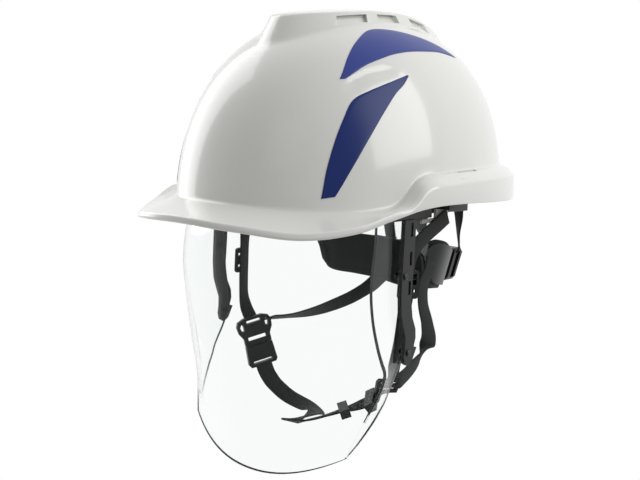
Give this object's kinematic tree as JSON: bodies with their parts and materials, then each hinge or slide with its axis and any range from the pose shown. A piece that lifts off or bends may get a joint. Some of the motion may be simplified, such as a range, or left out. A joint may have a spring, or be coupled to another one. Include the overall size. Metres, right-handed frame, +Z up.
{
  "type": "hard hat",
  "caption": "Safety hard hat with a hinged clear face shield, webbing head cradle, ratchet nape adjuster and buckled chin strap.",
  "frame": {"origin": "centre of the shell's dome at the height of the rim, over the wearer's head", "axes": "+Z up, -Y the way the wearer looks, +X towards the wearer's left"},
  "size_m": [0.227, 0.295, 0.3164],
  "materials": {
    "shell_white": "smooth glossy moulded plastic",
    "decal_blue": "smooth reflective film",
    "lens_clear": "clear polycarbonate sheet",
    "hard_black": "satin moulded plastic",
    "pad_dark": "knitted cover over foam",
    "webbing": "flat woven strap",
    "key_grey": "satin moulded plastic"
  },
  "bodies": {
    "hat": {"shell": "shell_white", "decal_upper_left": "decal_blue", "decal_upper_right": "decal_blue", "decal_lower_left": "decal_blue", "decal_lower_right": "decal_blue", "visor_guide_left": "hard_black", "visor_guide_right": "hard_black", "headband": "hard_black", "sweatband": "pad_dark", "crown_strap_side": "webbing", "crown_strap_rear": "webbing", "crown_pad": "pad_dark", "suspension_key_side_left": "key_grey", "suspension_key_side_right": "key_grey", "suspension_key_rear_left": "key_grey", "suspension_key_rear_right": "key_grey", "nape_hanger_left": "webbing", "nape_hanger_right": "webbing", "front_strap_left": "webbing", "front_strap_right": "webbing", "rear_strap_left": "webbing", "rear_strap_right": "webbing", "chin_strap": "webbing", "strap_junction": "hard_black", "strap_keeper_front": "hard_black", "strap_keeper_side": "hard_black", "buckle_frame": "hard_black"},
    "visor": {"visor_lens": "lens_clear", "visor_arm_left": "hard_black", "visor_arm_right": "hard_black", "visor_rivet_upper_left": "hard_black", "visor_rivet_upper_right": "hard_black", "visor_rivet_lower_left": "hard_black", "visor_rivet_lower_right": "hard_black"},
    "nape": {"nape_pad": "pad_dark", "nape_cradle": "hard_black", "nape_arm_left": "hard_black", "nape_arm_right": "hard_black", "ratchet_housing": "hard_black", "ratchet_cover": "hard_black"},
    "knob": {"ratchet_knob": "hard_black", "ratchet_pinion": "hard_black"},
    "rack_left": {"ratchet_rack_left": "hard_black"},
    "rack_right": {"ratchet_rack_right": "hard_black"},
    "tongue": {"buckle_tongue": "hard_black"},
    "slider_left": {"strap_slider_left": "hard_black"},
    "slider_right": {"strap_slider_right": "hard_black"}
  },
  "joints": [
    {"name": "visor_swing", "type": "hinge", "parent": "hat", "child": "visor", "pos_m": [0, 0.08, -0.05], "axis": [-1, 0, 0], "range_deg": [0, 36]},
    {"name": "nape_slide", "type": "slide", "parent": "hat", "child": "nape", "axis": [0, 1, 0], "range_m": [-0.012, 0.008], "deforming": ["rear_strap_left", "rear_strap_right", "nape_hanger_left", "nape_hanger_right"]},
    {"name": "knob_turn", "type": "hinge", "parent": "nape", "child": "knob", "pos_m": [0, 0.116, -0.0488], "axis": [0, 1, 0], "range_deg": [-124, 83]},
    {"name": "rack_left_slide", "type": "slide", "parent": "nape", "child": "rack_left", "axis": [1, 0, 0], "range_m": [-0.012, 0.008]},
    {"name": "rack_right_slide", "type": "slide", "parent": "nape", "child": "rack_right", "axis": [1, 0, 0], "range_m": [-0.008, 0.012]},
    {"name": "buckle_pull", "type": "slide", "parent": "hat", "child": "tongue", "axis": [0.165, 0.2, -0.9658], "range_m": [0, 0.018], "deforming": ["chin_strap"]},
    {"name": "slider_left_slide", "type": "slide", "parent": "hat", "child": "slider_left", "axis": [0, 0, 1], "range_m": [-0.004, 0.01]},
    {"name": "slider_right_slide", "type": "slide", "parent": "hat", "child": "slider_right", "axis": [0, 0, 1], "range_m": [-0.004, 0.01]}
  ],
  "couplings": [
    {"joint": "knob_turn", "follows": "nape_slide", "rad_per_m": 177},
    {"joint": "rack_left_slide", "follows": "nape_slide", "ratio": 1},
    {"joint": "rack_right_slide", "follows": "nape_slide", "ratio": -1}
  ]
}
